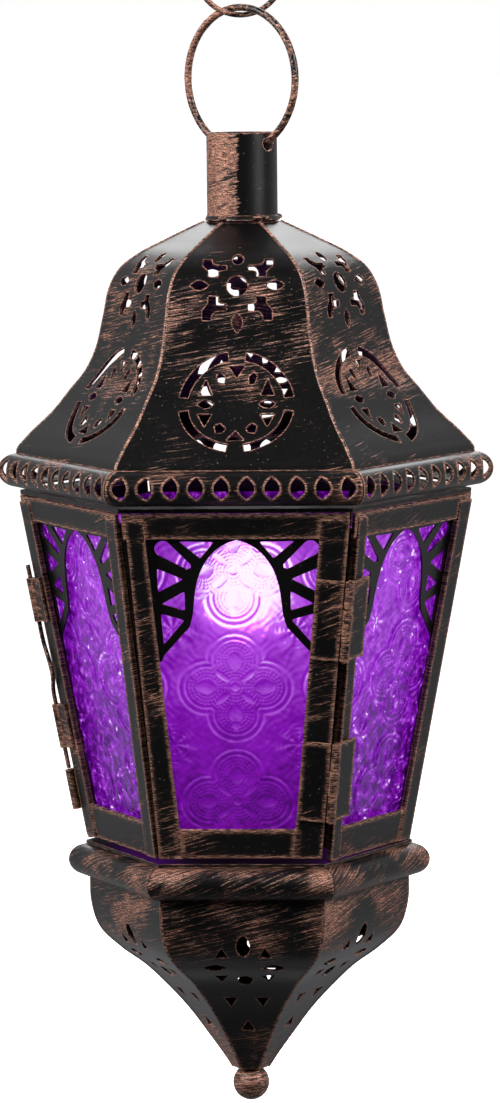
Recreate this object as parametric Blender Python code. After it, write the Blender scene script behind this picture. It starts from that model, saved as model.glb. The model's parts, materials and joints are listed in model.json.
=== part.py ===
"""Candle lantern: a six-sided hanging lantern of pierced sheet metal with coloured glass panes.

+Z is up and the front looks along -Y. The origin is the hang point: the top of the chain link's inside.
Faces are numbered 0 (front), then on anticlockwise as seen from above.
"""

from math import atan2, cos, hypot, pi, radians, sin, tan

import bmesh
import bpy
from mathutils import Matrix, Vector
from mathutils.geometry import delaunay_2d_cdt

MM = 0.001

# Hanging gear, mm
LINK_WIRE = 1.5
LINK_RADIUS = 12.0
LINK_TURN = radians(10)
RING_WIRE = 2.0
RING_RADIUS = 19.2
RING_TURN = radians(-38)
COLLAR_DIAMETER = 19.2
COLLAR_WALL = 0.8
COLLAR_TOP = -54.9
COLLAR_HOLE = 4.2
COLLAR_HOLE_Z = -57.7

# Roof: corner radius and height of each fold line, from the eave to the crown
ROOF = (
    (62.7, -141.0), (60.8, -138.5), (51.8, -129.7), (47.9, -124.8), (43.6, -119.6), (40.7, -113.7),
    (38.4, -104.5), (36.4, -96.1), (33.8, -91.7), (29.3, -88.2), (21.4, -84.1), (10.7, -79.0),
)
SHEET = 0.8
SEAM = 0.65
CROWN_RADIUS = 10.6
CROWN_BORE = 7.0

# Gallery band below the eave
BAND_RADIUS = 62.7
BAND_Z = -146.6
BAND_SECTION = 4.6
BAND_SLOTS = 10
BAND_PITCH = 6.25

# Cage of six leaning panes
CAGE_BOTTOM_RADIUS = 45.1
CAGE_TOP_RADIUS = 62.8
CAGE_BOTTOM = -249.0
CAGE_TOP = -154.3
FRAME_DEPTH = 1.6
FRAME_SETBACK = 1.2
STILE = 7.0
HINGE_STILE = 8.8
TOP_RAIL = 6.6
BOTTOM_RAIL = 9.2
DOOR_LIFT = 1.2
FRET_DEPTH = 0.6
FRET_DROP = 28.0
GLASS_DEPTH = 2.5
GAP = 0.3

# Hinges and latch
KNUCKLE = 2.4
KNUCKLE_BORE = 1.6
PIN = 1.0
LEAF_WIDTH = 7.5
LEAF_DEPTH = 0.6
HINGE_LENGTH = 22.0
HINGE_HEIGHTS = (("upper", -182.5), ("lower", -226.7))
BOLT_WIRE = 1.2
GUIDE_BORE = 1.8

# Base
FLOOR_TOP = -249.3
FLOOR_THICKNESS = 0.8
MOULDING_RADIUS = 45.0
MOULDING_Z = -254.7
MOULDING_SECTION = 4.3
PETAL = (
    (5.2, -313.0), (6.7, -310.6), (11.9, -303.2), (17.5, -295.7), (23.3, -289.4),
    (29.0, -284.0), (35.9, -279.0), (41.7, -273.2), (43.8, -266.6), (44.2, -259.5),
)
BALL_RADIUS = 5.0
BALL_Z = -317.4

# Candle
CUP_RADIUS = 21.2
CUP_HEIGHT = 8.0
CANDLE_RADIUS = 19.0
CANDLE_TOP = -192.0

DOOR_FACES = (0, 5)


for old in list(bpy.data.objects):
    bpy.data.objects.remove(old)


def material(name, colour, roughness, metallic):
    made = bpy.data.materials.new(name + "_finish")
    made.use_nodes = True
    shader = made.node_tree.nodes["Principled BSDF"]
    shader.inputs["Base Color"].default_value = (*colour, 1)
    shader.inputs["Roughness"].default_value = roughness
    shader.inputs["Metallic"].default_value = metallic
    made.diffuse_color = (*colour, 1)
    return made


BLACKENED = ((0.028, 0.021, 0.019), 0.42, 0.7)
COPPERED = ((0.16, 0.075, 0.045), 0.4, 0.85)
WIRE = ((0.2, 0.11, 0.07), 0.35, 0.9)
PURPLE = ((0.22, 0.02, 0.62), 0.12, 0.0)
WAX = ((0.9, 0.86, 0.76), 0.55, 0.0)
TIN = ((0.62, 0.62, 0.64), 0.3, 0.9)
CHARRED = ((0.05, 0.045, 0.04), 0.9, 0.0)


def part(name, points, faces, finish, origin=(0, 0, 0), smooth=None, hidden=False):
    """One object from world points in mm, with its own origin."""
    mesh = bpy.data.meshes.new(name)
    start = Vector(origin)
    mesh.from_pydata([(Vector(p) - start) * MM for p in points], [], faces)
    work = bmesh.new()
    work.from_mesh(mesh)
    bmesh.ops.recalc_face_normals(work, faces=work.faces)
    work.to_mesh(mesh)
    work.free()
    if smooth:
        mesh.shade_smooth()
        mesh.set_sharp_from_angle(angle=radians(smooth))
    made = bpy.data.objects.new(name, mesh)
    made.location = start * MM
    bpy.context.scene.collection.objects.link(made)
    if hidden:
        made.hide_render = True
        made.display_type = "WIRE"
    else:
        mesh.materials.append(material(name, *finish))
    return made


def boolean(target, other, operation):
    modifier = target.modifiers.new(other.name, "BOOLEAN")
    modifier.operation = operation
    modifier.solver = "EXACT"
    modifier.object = other


def inside(point, outline):
    """Even-odd test of a point against a closed outline."""
    hit = False
    for (x0, y0), (x1, y1) in zip(outline, outline[1:] + outline[:1]):
        if (y0 > point[1]) != (y1 > point[1]):
            if point[0] < x0 + (point[1] - y0) * (x1 - x0) / (y1 - y0):
                hit = not hit
    return hit


def pierced(outline, holes, lines=()):
    """Triangles of a flat outline with holes. The fold lines are pairs of indices into the outline."""
    loops = [list(outline)] + [list(hole) for hole in holes]
    points = []
    edges = list(lines)
    for loop in loops:
        first = len(points)
        points += loop
        edges += [(first + i, first + (i + 1) % len(loop)) for i in range(len(loop))]
    found = delaunay_2d_cdt([Vector(p) for p in points], edges, [], 0, 1e-4, False)
    flat = [tuple(p) for p in found[0]]
    kept = []
    for triangle in found[2]:
        middle = tuple(sum(flat[i][axis] for i in triangle) / 3 for axis in (0, 1))
        if inside(middle, loops[0]) and not any(inside(middle, hole) for hole in loops[1:]):
            kept.append(tuple(triangle))
    return flat, kept


def shell(flat, triangles, outer, inner):
    """A closed sheet between two surfaces, each a function of a flat point."""
    used = sorted({i for triangle in triangles for i in triangle})
    place = {old: new for new, old in enumerate(used)}
    count = len(used)
    points = [outer(flat[i]) for i in used] + [inner(flat[i]) for i in used]
    faces = []
    rims = {}
    for triangle in triangles:
        a, b, c = (place[i] for i in triangle)
        faces += [(a, b, c), (c + count, b + count, a + count)]
        for edge in ((a, b), (b, c), (c, a)):
            rims[edge] = True
    for a, b in rims:
        if (b, a) not in rims:
            faces.append((b, a, a + count, b + count))
    return points, faces


def around(angle, across, away, height):
    """World point on the face whose normal is at this angle: across it, away from the axis, and up."""
    return Vector((
        away * cos(angle) - across * sin(angle), away * sin(angle) + across * cos(angle), height,
    ))


def face_angle(index):
    return radians(270 + 60 * index)


def corner_angle(index):
    """Angle of the corner between a face and the next one."""
    return radians(300 + 60 * index)


def diamond(u, s, wide, tall):
    return [(u - wide / 2, s), (u, s - tall / 2), (u + wide / 2, s), (u, s + tall / 2)]


def polygon(u, s, size, sides, turn):
    return [
        (u + size * cos(radians(turn) + 2 * pi * i / sides), s + size * sin(radians(turn) + 2 * pi * i / sides))
        for i in range(sides)
    ]


def arc_slot(u, s, low, high, start, stop, steps):
    sweep = [radians(start + (stop - start) * i / steps) for i in range(steps + 1)]
    outer = [(u + high * cos(a), s + high * sin(a)) for a in sweep]
    return outer + [(u + low * cos(a), s + low * sin(a)) for a in reversed(sweep)]


def both_sides(shape):
    return [shape, [(-u, s) for u, s in reversed(shape)]]


def offset_profile(profile, depth):
    """The profile moved in by the sheet's depth, with the folds mitred."""
    moved = []
    for i, (x, z) in enumerate(profile):
        normals = []
        for a, b in ((i - 1, i), (i, i + 1)):
            if a >= 0 and b < len(profile):
                run = (profile[b][0] - profile[a][0], profile[b][1] - profile[a][1])
                long = hypot(*run)
                normals.append((-run[1] / long, run[0] / long))
        nx = sum(n[0] for n in normals) / len(normals)
        nz = sum(n[1] for n in normals) / len(normals)
        scale = depth / (nx * nx + nz * nz)
        moved.append((x + nx * scale, z + nz * scale))
    return moved


def lerp_profile(levels, profile, s):
    for i in range(len(levels) - 1):
        if s <= levels[i + 1] or i == len(levels) - 2:
            t = (s - levels[i]) / (levels[i + 1] - levels[i])
            low, high = profile[i], profile[i + 1]
            return low[0] + (high[0] - low[0]) * t, low[1] + (high[1] - low[1]) * t


def folded_sheet(name, angle, corners, depth, holes, finish):
    """One side of a six-sided bell or bowl, folded along level lines and pierced."""
    profile = [(radius * cos(pi / 6), z) for radius, z in corners]
    levels = [0.0]
    for (x0, z0), (x1, z1) in zip(profile, profile[1:]):
        levels.append(levels[-1] + hypot(x1 - x0, z1 - z0))
    halves = [radius / 2 - SEAM for radius, _ in corners]
    count = len(levels)
    outline = [(half, s) for half, s in zip(halves, levels)]
    outline += [(-half, s) for half, s in reversed(list(zip(halves, levels)))]
    lines = [(i, 2 * count - 1 - i) for i in range(1, count - 1)]
    flat, triangles = pierced(outline, holes, lines)
    behind = offset_profile(profile, depth)

    def place(section):
        return lambda p: around(angle, p[0], *lerp_profile(levels, section, p[1]))

    return part(name, *shell(flat, triangles, place(profile), place(behind)), finish)


def turned(name, profile, centre, finish, steps=32, origin=None):
    """A round piece from a closed profile of (radius, height), by a Screw about Z."""
    low = Vector(origin if origin else (*centre, 0))
    points = [(r * MM, 0, (z - low[2]) * MM) for r, z in profile]
    edges = [(i, i + 1) for i in range(len(points) - 1)]
    if profile[0][0] > 0:
        edges.append((len(points) - 1, 0))
    mesh = bpy.data.meshes.new(name)
    mesh.from_pydata(points, edges, [])
    made = bpy.data.objects.new(name, mesh)
    made.location = low * MM
    bpy.context.scene.collection.objects.link(made)
    screw = made.modifiers.new("Turn", "SCREW")
    screw.steps = steps
    screw.render_steps = steps
    screw.use_merge_vertices = True
    screw.merge_threshold = 0.00001
    screw.use_smooth_shade = True
    screw.use_normal_flip = True
    mesh.materials.append(material(name, *finish))
    return made


def torus(name, centre, turn, radius, wire, sides, segments, finish, origin=None):
    """An upright wire ring, turned about Z."""
    points = []
    faces = []
    for i in range(segments):
        around_ring = 2 * pi * i / segments
        for j in range(sides):
            around_wire = 2 * pi * j / sides
            reach = radius + wire / 2 * cos(around_wire)
            side = wire / 2 * sin(around_wire)
            x = reach * sin(around_ring)
            points.append((
                centre[0] + x * cos(turn) - side * sin(turn),
                centre[1] + x * sin(turn) + side * cos(turn),
                centre[2] + reach * cos(around_ring),
            ))
            k, m = (i + 1) % segments, (j + 1) % sides
            faces.append((i * sides + j, i * sides + m, k * sides + m, k * sides + j))
    return part(name, points, faces, finish, origin or centre, smooth=60)


def swept(path, radius, sides):
    """A round wire along a path, with flat ends."""
    rows = []
    side = None
    for i, point in enumerate(path):
        ahead = (path[min(i + 1, len(path) - 1)] - path[max(i - 1, 0)]).normalized()
        if side is None:
            side = ahead.orthogonal()
        side = (side - ahead * side.dot(ahead)).normalized()
        other = ahead.cross(side)
        rows.append([
            point + radius * (side * cos(2 * pi * j / sides) + other * sin(2 * pi * j / sides))
            for j in range(sides)
        ])
    faces = [tuple(reversed(range(sides)))]
    for i in range(len(rows) - 1):
        for j in range(sides):
            k = (j + 1) % sides
            faces.append((i * sides + j, i * sides + k, (i + 1) * sides + k, (i + 1) * sides + j))
    last = (len(rows) - 1) * sides
    faces.append(tuple(range(last, last + sides)))
    return [p for row in rows for p in row], faces


def tube(start, end, outer, inner, sides):
    """A hollow barrel from start to end."""
    along = (end - start).normalized()
    side = along.orthogonal().normalized()
    other = along.cross(side)
    points = []
    for foot, radius in ((start, outer), (end, outer), (end, inner), (start, inner)):
        for j in range(sides):
            a = 2 * pi * j / sides
            points.append(foot + radius * (side * cos(a) + other * sin(a)))
    faces = []
    for i in range(4):
        for j in range(sides):
            k = (j + 1) % sides
            m = (i + 1) % 4
            faces.append((i * sides + j, i * sides + k, m * sides + k, m * sides + j))
    return points, faces


def block(corner, edges):
    """A box from one corner and its three edge vectors."""
    a, b, c = edges
    if a.cross(b).dot(c) < 0:
        a, b = b, a
    points = [corner, corner + a, corner + a + b, corner + b]
    points += [p + c for p in points]
    faces = [(3, 2, 1, 0), (4, 5, 6, 7), (0, 1, 5, 4), (1, 2, 6, 5), (2, 3, 7, 6), (3, 0, 4, 7)]
    return points, faces


# Hanging gear
link_centre = (0, 0, -LINK_WIRE / 2 - LINK_RADIUS + LINK_WIRE)
link_low = link_centre[2] - LINK_RADIUS
torus("chain_link", link_centre, LINK_TURN, LINK_RADIUS, LINK_WIRE, 8, 36, WIRE)
ring_top = link_low + LINK_WIRE / 2 + GAP + RING_WIRE / 2
ring_centre = (0, 0, ring_top - RING_RADIUS)
torus("hanging_ring", ring_centre, RING_TURN, RING_RADIUS, RING_WIRE, 8, 48, WIRE, (0, 0, link_low))

crown_low = ROOF[-1][1] + GAP
crown_top = crown_low + 1.0
turned("crown_plate",
       [(CROWN_BORE, crown_low), (CROWN_RADIUS, crown_low), (CROWN_RADIUS, crown_top), (CROWN_BORE, crown_top)],
       (0, 0), BLACKENED)
collar_low = crown_top + GAP
collar_outer = COLLAR_DIAMETER / 2
collar_inner = collar_outer - COLLAR_WALL
collar = turned("collar",
                [(collar_inner, collar_low), (collar_outer, collar_low),
                 (collar_outer, COLLAR_TOP), (collar_inner, COLLAR_TOP)],
                (0, 0), COPPERED, origin=(0, 0, COLLAR_HOLE_Z))
hole_reach = Vector((cos(RING_TURN), sin(RING_TURN), 0)) * (collar_outer + 3)
hole_middle = Vector((0, 0, COLLAR_HOLE_Z))
hole_cutter = part("collar_hole_cutter", *swept([hole_middle - hole_reach, hole_middle + hole_reach], COLLAR_HOLE / 2, 20),
                   None, hidden=True)
boolean(collar, hole_cutter, "DIFFERENCE")

# Pierced pattern of a roof side, as (across, up the sheet) in mm
ROSETTE = 54.0
MEDALLION = 21.0
roof_holes = [
    polygon(0, ROSETTE, 2.9, 6, 0),
    diamond(0, ROSETTE + 9.3, 3.4, 4.6),
    diamond(0, ROSETTE - 9.8, 2.8, 4.8),
    polygon(0, MEDALLION + 9.6, 1.9, 3, 270),
    polygon(0, MEDALLION - 9.6, 1.9, 3, 90),
]
for shape in (
    diamond(10, ROSETTE, 4.6, 2.6),
    diamond(6.4, ROSETTE + 5.8, 5.2, 5.2),
    diamond(6.4, ROSETTE - 5.8, 5.2, 5.2),
    diamond(8.6, MEDALLION, 3.6, 2.2),
    polygon(8.1, MEDALLION + 4.9, 1.8, 3, 30),
    polygon(8.1, MEDALLION - 4.9, 1.8, 3, 330),
    diamond(4.2, MEDALLION + 7.7, 2.6, 3.0),
    diamond(4.2, MEDALLION - 7.7, 2.6, 3.0),
    arc_slot(0, MEDALLION, 13.1, 15.4, 8, 80, 5),
    arc_slot(0, MEDALLION, 13.1, 15.4, -80, -8, 5),
):
    roof_holes += both_sides(shape)

# Pierced pattern of a base petal
petal_holes = [
    diamond(0, 51.0, 3.8, 7.0),
    polygon(0, 35.4, 2.0, 6, 0),
    polygon(0, 15.6, 1.9, 3, 90),
]
for shape in (
    polygon(5.8, 49.0, 1.8, 3, 30),
    diamond(7.9, 42.3, 6.4, 2.2),
    polygon(6.2, 36.6, 1.7, 3, 330),
    polygon(4.3, 25.3, 1.8, 3, 270),
):
    petal_holes += both_sides(shape)

for index in range(6):
    folded_sheet(f"roof_panel_{index}", face_angle(index), ROOF, SHEET, roof_holes, BLACKENED)
    folded_sheet(f"base_petal_{index}", face_angle(index), PETAL, SHEET, petal_holes, BLACKENED)

# Gallery: half-round strips with ten pointed slots each, mitred at the corners
BAND_FOLDS = (-90, -55, -19, 19, 55, 90)
band_apothem = BAND_RADIUS * cos(pi / 6)


def band_point(angle, radius):
    def place(p):
        turn = radians(p[1])
        away = band_apothem + radius * cos(turn)
        return around(angle, p[0] * (away * tan(pi / 6) - SEAM), away, BAND_Z + radius * sin(turn))
    return place


for index in range(6):
    half = band_apothem * tan(pi / 6)
    folds = len(BAND_FOLDS)
    outline = [(1, turn) for turn in BAND_FOLDS] + [(-1, turn) for turn in reversed(BAND_FOLDS)]
    lines = [(i, 2 * folds - 1 - i) for i in range(1, folds - 1)]
    slots = []
    for slot in range(BAND_SLOTS):
        u = (slot - (BAND_SLOTS - 1) / 2) * BAND_PITCH / half
        w = 1.5 / half
        slots.append([(u, -40), (u + w, -19), (u + w, 19), (u, 40), (u - w, 19), (u - w, -19)])
    flat, triangles = pierced(outline, slots, lines)
    sheet = shell(flat, triangles, band_point(face_angle(index), BAND_SECTION),
                  band_point(face_angle(index), BAND_SECTION - SHEET))
    part(f"gallery_strip_{index}", *sheet, COPPERED, smooth=45)


def hexagon(radius):
    return [(radius * cos(pi / 3 * i), radius * sin(pi / 3 * i)) for i in range(6)]


def flat_plate(name, outline, holes, low, high, finish):
    flat, triangles = pierced(outline, holes)
    return part(name, *shell(flat, triangles, lambda p: (*p, high), lambda p: (*p, low)), finish)


flat_plate("top_plate", hexagon(61.8), [hexagon(49.0)], -153.2, -152.0, BLACKENED)
flat_plate("floor_plate", hexagon(MOULDING_RADIUS), [], FLOOR_TOP - FLOOR_THICKNESS, FLOOR_TOP, BLACKENED)

# Cage: each frame, fretwork and pane is flat and leans out with its side
lean = atan2((CAGE_TOP_RADIUS - CAGE_BOTTOM_RADIUS) * cos(pi / 6), CAGE_TOP - CAGE_BOTTOM)
slant = (CAGE_TOP - CAGE_BOTTOM) / cos(lean)


def half_side(s):
    return (CAGE_BOTTOM_RADIUS + (CAGE_TOP_RADIUS - CAGE_BOTTOM_RADIUS) * s / slant) / 2


def on_face(index, depth):
    """Maps (across, up the slope) to the plane this deep behind a side's outer surface."""
    def place(p):
        away = CAGE_BOTTOM_RADIUS * cos(pi / 6) + p[1] * sin(lean) - depth * cos(lean)
        return around(face_angle(index), p[0], away, CAGE_BOTTOM + p[1] * cos(lean) + depth * sin(lean))
    return place


def trapezium(left, right, low, high):
    """Corners of a side's outline set in from its two corner lines."""
    return [
        (-half_side(low) + left, low), (half_side(low) - right, low),
        (half_side(high) - right, high), (-half_side(high) + left, high),
    ]


def pane(name, index, outline, holes, front, back, finish, origin):
    flat, triangles = pierced(outline, holes)
    return part(name, *shell(flat, triangles, on_face(index, front), on_face(index, back)), finish, origin)


def fret_holes(left, right, high):
    """Bars fanning out of both top corners of the arch."""
    top = high - 2.2
    middle = (left - right) / 2
    reach = half_side(high) - (left + right) / 2
    found = []
    for shape in (
        [(reach - 15.0, top), (reach - 7.6, top), (reach - 10.6, top - 4.6)],
        [(reach - 3.4, top - 1.2), (reach - 8.6, top - 6.2), (reach - 3.9, top - 4.4)],
        [(reach - 2.9, top - 6.4), (reach - 7.4, top - 8.6), (reach - 3.6, top - 11.0)],
        [(reach - 4.2, top - 12.6), (reach - 7.6, top - 10.6), (reach - 6.4, top - 16.2)],
        [(reach - 4.6, top - 15.2), (reach - 6.0, top - 18.4), (reach - 5.6, top - 22.2)],
    ):
        found.append([(u + middle, s) for u, s in shape])
        found.append([(-u + middle, s) for u, s in reversed(shape)])
    return found


def fret_outline(left, right, high):
    """A plate behind the opening's top, cut out below by a pointed arch."""
    low = high - FRET_DROP
    edge_low = half_side(low) + 2.0
    edge_high = half_side(high + 2) + 2.0
    middle = (left - right) / 2
    side = (left + right) / 2
    reach_low = half_side(low) - side
    reach = half_side(high) - side
    arch = [
        (reach_low - 2.6, low), (reach - 8.4, high - 17.6), (reach - 10.6, high - 10.4), (reach - 16.4, high - 4.6),
        (0, high - 1.6),
    ]
    curve = [(middle + u, s) for u, s in arch] + [(middle - u, s) for u, s in reversed(arch[:-1])]
    return ([(-edge_low + left, low), *reversed(curve), (edge_low - right, low),
             (edge_high - right, high + 2), (-edge_high + left, high + 2)])


corner_rise = Vector((CAGE_TOP_RADIUS - CAGE_BOTTOM_RADIUS, 0, CAGE_TOP - CAGE_BOTTOM)).normalized()


def corner_frame(index, face, heights_out=LEAF_DEPTH / 2 + GAP):
    """The line of a corner's barrels, and the direction along the side away from it, and the side's normal."""
    angle = corner_angle(index)
    along = Matrix.Rotation(angle, 3, "Z") @ corner_rise
    normal = Vector((cos(face_angle(face)) * cos(lean), sin(face_angle(face)) * cos(lean), -sin(lean)))
    side = along.cross(normal).normalized()
    if face == index:
        side = -side
    reach = heights_out / (cos(pi / 6) * cos(lean))

    def at(z):
        share = (z - CAGE_BOTTOM) / (CAGE_TOP - CAGE_BOTTOM)
        radius = CAGE_BOTTOM_RADIUS + (CAGE_TOP_RADIUS - CAGE_BOTTOM_RADIUS) * share
        return Vector(((radius + reach) * cos(angle), (radius + reach) * sin(angle), z))

    return at, along, side, normal


hinge_at, hinge_along, _, _ = corner_frame(0, 0)
door_origin = hinge_at((CAGE_TOP + CAGE_BOTTOM) / 2)

for index in range(6):
    moving = index in DOOR_FACES
    origin = door_origin if moving else (0, 0, 0)
    low = DOOR_LIFT if moving else 0.0
    left, right = (STILE, HINGE_STILE) if index == 0 else (STILE, STILE)
    opening_low, opening_high = BOTTOM_RAIL, slant - TOP_RAIL
    outline = trapezium(FRAME_SETBACK, FRAME_SETBACK, low, slant - GAP)
    opening = trapezium(left, right, opening_low, opening_high)
    pane(f"frame_{index}", index, outline, [opening], 0, FRAME_DEPTH, BLACKENED, origin)
    fret_front = FRAME_DEPTH + GAP
    glass_front = fret_front + FRET_DEPTH + GAP
    pane(f"fretwork_{index}", index, fret_outline(left, right, opening_high),
         fret_holes(left, right, opening_high), fret_front, fret_front + FRET_DEPTH, BLACKENED, origin)
    pane(f"glass_{index}", index, trapezium(left - 3, right - 3, opening_low - 3, opening_high + 3), [],
         glass_front, glass_front + GLASS_DEPTH, PURPLE, origin)

# Angle strip inside the bent corner of the door
strip_low, strip_high = DOOR_LIFT + 1, slant - 2
strip_points = []
for s in (strip_low, strip_high):
    for index, sign in ((5, 1), (0, -1)):
        for depth in (FRAME_DEPTH + GAP, FRAME_DEPTH + GAP + FRET_DEPTH):
            mitre = depth * tan(pi / 6)
            for run in (mitre, mitre + 1.7):
                strip_points.append(on_face(index, depth)((sign * (half_side(s) - run), s)))
strip_faces = []
front_loop = [1, 0, 4, 5, 7, 6, 2, 3]
for foot in (0, 8):
    ring = [foot + i for i in front_loop]
    strip_faces.append(tuple(ring if foot else reversed(ring)))
for i in range(8):
    a, b = front_loop[i], front_loop[(i + 1) % 8]
    strip_faces.append((a, b, b + 8, a + 8))
part("door_corner_strip", strip_points, strip_faces, BLACKENED, door_origin)

# Hinges on the front right corner: the door's leaf carries the middle knuckle
for which, z in HINGE_HEIGHTS:
    middle = hinge_at(z)
    third = HINGE_LENGTH / 3
    for owner, face, knuckles in (("door", 0, ((-0.5, 0.5),)), ("frame", 1, ((-1.5, -0.5), (0.5, 1.5)))):
        _, along, side, normal = corner_frame(0, face)
        thick = normal * LEAF_DEPTH
        edge = KNUCKLE / 2 + GAP
        foot = middle - along * (HINGE_LENGTH / 2) + side * edge - thick / 2
        origin = door_origin if owner == "door" else (0, 0, 0)
        leaf = part(f"hinge_{which}_{owner}_leaf",
                    *block(foot, (along * HINGE_LENGTH, side * LEAF_WIDTH, thick)), COPPERED, origin)
        for start, stop in knuckles:
            low = middle + along * (third * start + 0.2)
            high = middle + along * (third * stop - 0.2)
            barrel = part(f"{leaf.name}_knuckle_{start}", *tube(low, high, KNUCKLE / 2, KNUCKLE_BORE / 2, 16),
                          None, hidden=True)
            tongue = part(f"{leaf.name}_tongue_{start}",
                          *block(low + along * 0.3 + side - thick * 0.4,
                                 ((high - low) - along * 0.6, side * (edge - 0.7), thick * 0.8)),
                          None, hidden=True)
            boolean(leaf, tongue, "UNION")
            boolean(leaf, barrel, "UNION")
    pin_ends = [middle - hinge_along * (HINGE_LENGTH / 2 + 0.4), middle + hinge_along * (HINGE_LENGTH / 2 + 0.4)]
    part(f"hinge_{which}_pin", *swept(pin_ends, PIN / 2, 12), COPPERED, smooth=45)

# Latch on the left corner: two guides on the door, a keeper on the next side, and a bent wire bolt
for name, face, low, high in (
    ("latch_guide_upper", 5, -188.4, -176.4),
    ("latch_guide_lower", 5, -223.4, -211.4),
    ("latch_keeper", 4, -240.6, -229.6),
):
    latch_at, along, side, normal = corner_frame(4, face)
    start, stop = latch_at(low), latch_at(high)
    foot = start + side * ((KNUCKLE + GUIDE_BORE) / 4) - normal * (LEAF_DEPTH / 2)
    origin = (0, 0, 0) if name == "latch_keeper" else door_origin
    guide = part(name, *block(foot, (stop - start, side * 5.0, normal * LEAF_DEPTH)), COPPERED, origin)
    barrel = part(name + "_barrel", *tube(start, stop, KNUCKLE / 2, GUIDE_BORE / 2, 16), None, hidden=True)
    boolean(guide, barrel, "UNION")

latch_at, along, side, normal = corner_frame(4, 5)
bolt_path = []
for z, reach in (
    (-229.3, 0), (-211.0, 0), (-209.4, 0), (-207.4, 0.6), (-204.8, 2.2), (-202.6, 2.6), (-200.0, 2.3),
    (-196.6, 1.0), (-194.4, 0.15), (-193.2, 0), (-188.4, 0), (-172.8, 0),
):
    bolt_path.append(latch_at(z) + side * reach + normal * (0.35 * reach / 2.6))
part("latch_bolt", *swept(bolt_path, BOLT_WIRE / 2, 10), WIRE, latch_at(-200.0), smooth=50)

# Base
moulding = []
section = [(MOULDING_SECTION * cos(radians(a)), MOULDING_SECTION * sin(radians(a))) for a in range(-90, 91, 20)]
for corner in range(6):
    for away, up in section:
        radius = MOULDING_RADIUS + away / cos(pi / 6)
        moulding.append((radius * cos(corner * pi / 3), radius * sin(corner * pi / 3), MOULDING_Z + up))
    radius = MOULDING_RADIUS - 2.0
    for up in (section[-1][1], section[0][1]):
        moulding.append((radius * cos(corner * pi / 3), radius * sin(corner * pi / 3), MOULDING_Z + up))
around_section = len(section) + 2
moulding_faces = []
for corner in range(6):
    for i in range(around_section):
        j = (i + 1) % around_section
        a, b = corner * around_section, (corner + 1) % 6 * around_section
        moulding_faces.append((a + i, b + i, b + j, a + j))
part("base_moulding", moulding, moulding_faces, COPPERED, smooth=30)

ball = [(0, BALL_Z - BALL_RADIUS)]
for a in range(-75, 61, 15):
    ball.append((BALL_RADIUS * cos(radians(a)), BALL_Z + BALL_RADIUS * sin(radians(a))))
ball += [(2.0, BALL_Z + BALL_RADIUS - 0.3), (2.0, -308.0), (0, -308.0)]
turned("finial_ball", ball, (0, 0), COPPERED, steps=24)

# Candle in its cup
cup_low = FLOOR_TOP + GAP
turned("candle_cup",
       [(0, cup_low), (CUP_RADIUS, cup_low), (CUP_RADIUS, cup_low + CUP_HEIGHT),
        (CUP_RADIUS - 0.6, cup_low + CUP_HEIGHT), (CUP_RADIUS - 0.6, cup_low + 0.6), (0, cup_low + 0.6)],
       (0, 0), TIN)
candle_low = cup_low + 0.6 + GAP
turned("candle",
       [(0, candle_low), (CANDLE_RADIUS - 0.8, candle_low), (CANDLE_RADIUS, candle_low + 0.8),
        (CANDLE_RADIUS, CANDLE_TOP - 1.5), (CANDLE_RADIUS - 1.5, CANDLE_TOP), (5.0, CANDLE_TOP - 1.0),
        (1.1, CANDLE_TOP - 1.0), (1.1, CANDLE_TOP - 6.0), (0, CANDLE_TOP - 6.0)],
       (0, 0), WAX)
wick_path = [Vector((x, 0, CANDLE_TOP + z)) for x, z in ((0, -5.7), (0, 1.0), (0.3, 3.4), (1.0, 5.6))]
part("wick", *swept(wick_path, 0.7, 8), CHARRED, smooth=50)
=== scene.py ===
"""Looks of the candle lantern: pierced sheets, embossed panes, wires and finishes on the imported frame."""

import json
from math import atan2, cos, pi, radians, sin, tan

import bpy
import numpy as np
from mathutils import Matrix, Vector
from mathutils.geometry import delaunay_2d_cdt

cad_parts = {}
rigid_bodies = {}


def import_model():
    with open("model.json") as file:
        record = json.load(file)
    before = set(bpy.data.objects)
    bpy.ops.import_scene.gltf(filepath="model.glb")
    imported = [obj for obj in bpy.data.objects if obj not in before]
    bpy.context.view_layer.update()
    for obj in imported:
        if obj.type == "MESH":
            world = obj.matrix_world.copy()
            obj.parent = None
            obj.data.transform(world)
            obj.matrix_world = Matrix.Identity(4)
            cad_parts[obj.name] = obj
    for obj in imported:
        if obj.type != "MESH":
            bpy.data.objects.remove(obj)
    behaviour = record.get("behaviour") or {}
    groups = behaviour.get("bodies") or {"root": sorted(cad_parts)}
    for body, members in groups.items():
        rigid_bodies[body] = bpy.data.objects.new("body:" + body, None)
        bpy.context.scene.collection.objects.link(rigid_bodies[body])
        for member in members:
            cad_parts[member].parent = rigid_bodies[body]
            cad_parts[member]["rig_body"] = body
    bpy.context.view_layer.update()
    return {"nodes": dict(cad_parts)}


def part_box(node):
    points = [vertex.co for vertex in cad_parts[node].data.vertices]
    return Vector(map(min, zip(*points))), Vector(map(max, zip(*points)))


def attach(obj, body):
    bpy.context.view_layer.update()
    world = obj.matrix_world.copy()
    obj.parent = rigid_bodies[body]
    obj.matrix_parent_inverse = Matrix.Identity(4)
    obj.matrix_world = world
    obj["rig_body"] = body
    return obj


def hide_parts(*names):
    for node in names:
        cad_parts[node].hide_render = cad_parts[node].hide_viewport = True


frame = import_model()
nodes = frame["nodes"]

MM = 0.001
FACES = range(6)
DOOR_FACES = (0, 5)
SHEET = 0.6
HALF_TURN = pi / 6
IN_MM = (1000, 1000, 1000)


def level(node, top=False):
    """Height of a CAD node's foot or top, in mm."""
    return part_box(node)[1 if top else 0].z / MM


def owner(node):
    return nodes[node]["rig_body"]


# ---------------------------------------------------------------- materials

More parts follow.
